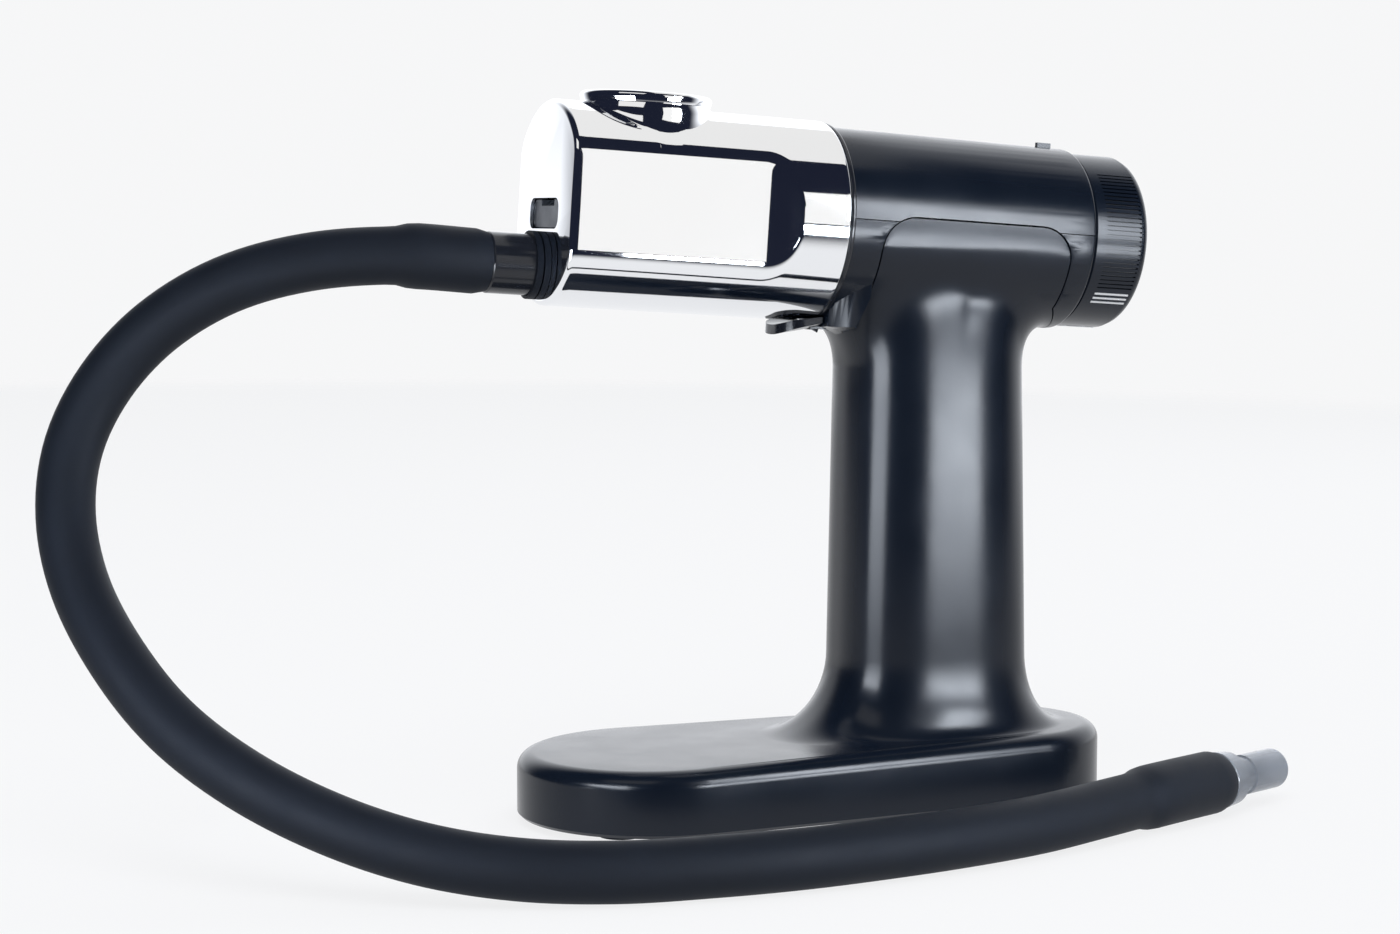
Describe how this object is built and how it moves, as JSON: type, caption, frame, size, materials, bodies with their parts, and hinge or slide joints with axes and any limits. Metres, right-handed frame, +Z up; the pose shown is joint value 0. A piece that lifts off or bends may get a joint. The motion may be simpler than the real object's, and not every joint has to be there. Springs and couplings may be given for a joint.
{
  "type": "handheld smoke infuser",
  "caption": "Handheld food smoke infuser: polished barrel with burn bowl and ash tray, fan housing with speed dial, hollow grip on a flat base, flexible smoke hose.",
  "frame": {"origin": "on the surface the base stands on, below the middle of the object's box without its hose", "axes": "+Z up, -X the way the barrel points, Y across the grip"},
  "size_m": [0.2901, 0.1185, 0.1695],
  "materials": {
    "polished_steel": "mirror polished",
    "plain_steel": "plain",
    "dark_steel": "dark plain",
    "black_gloss": "gloss",
    "black_satin": "satin",
    "inner_plastic": "moulded",
    "black_rubber": "matt",
    "smoked_plastic": "translucent",
    "white_paint": "printed",
    "contact_metal": "plated",
    "cell_wrap": "film wrapped",
    "circuit_board": "lacquered",
    "wire_cover": "insulated"
  },
  "bodies": {
    "stand": {"stand_shell": "black_satin", "saddle_screws": "plain_steel", "base_plate": "inner_plastic", "base_screws": "plain_steel", "rubber_feet": "black_rubber", "battery_sleeve": "inner_plastic", "battery_cells": "cell_wrap", "top_contacts": "contact_metal", "door_hinge_pin": "plain_steel", "wires": "wire_cover", "housing_upper": "black_satin", "housing_lower": "black_satin", "housing_screws": "plain_steel", "front_bezel": "black_gloss", "fan_nose": "inner_plastic", "barrel_seal": "black_rubber", "motor": "plain_steel", "motor_end_cap": "inner_plastic", "motor_bracket": "inner_plastic", "motor_screws": "plain_steel", "bracket_screws": "plain_steel", "control_board": "circuit_board", "speed_control": "inner_plastic", "control_nut": "plain_steel", "rear_plate": "inner_plastic", "dial_pointer": "black_satin", "lever_pin": "plain_steel", "lever_spring": "plain_steel"},
    "fan": {"impeller": "inner_plastic", "motor_shaft": "plain_steel"},
    "dial": {"speed_dial": "black_satin", "dial_marks": "white_paint", "control_shaft": "plain_steel"},
    "lever": {"release_lever": "black_gloss"},
    "barrel": {"barrel": "polished_steel", "bowl_gasket": "black_rubber", "smoke_duct": "inner_plastic", "smoke_spigot": "black_gloss", "spigot_seals": "black_rubber", "hose": "black_rubber", "hose_tip": "smoked_plastic"},
    "bowl": {"burn_bowl": "polished_steel", "bowl_screen": "plain_steel"},
    "tray": {"ash_tray": "dark_steel"},
    "door": {"battery_door": "inner_plastic", "door_springs": "plain_steel"}
  },
  "joints": [
    {"name": "fan_spin", "type": "hinge", "parent": "stand", "child": "fan", "pos_m": [0.00857, 0, 0.13949], "axis": [0.9978, 0, -0.0663], "continuous": true},
    {"name": "dial_turn", "type": "hinge", "parent": "stand", "child": "dial", "pos_m": [0.07841, 0, 0.13485], "axis": [0.9978, 0, -0.0663], "range_deg": [0, 230]},
    {"name": "lever_pull", "type": "hinge", "parent": "stand", "child": "lever", "pos_m": [0.01059, 0, 0.1157], "axis": [0, -1, 0], "range_deg": [0, 12], "stiffness_Nm_per_rad": 0.05, "springref_deg": -5.73},
    {"name": "barrel_slide", "type": "slide", "parent": "stand", "child": "barrel", "axis": [-0.9978, 0, 0.0663], "range_m": [0, 0.03]},
    {"name": "bowl_lift", "type": "slide", "parent": "barrel", "child": "bowl", "axis": [0.0663, 0, 0.9978], "range_m": [0, 0.02]},
    {"name": "tray_slide", "type": "slide", "parent": "barrel", "child": "tray", "axis": [-0.9978, 0, 0.0663], "range_m": [0, 0.03]},
    {"name": "door_swing", "type": "hinge", "parent": "stand", "child": "door", "pos_m": [0.0188, 0, 0.0025], "axis": [0, 1, 0], "range_deg": [0, 85]}
  ]
}
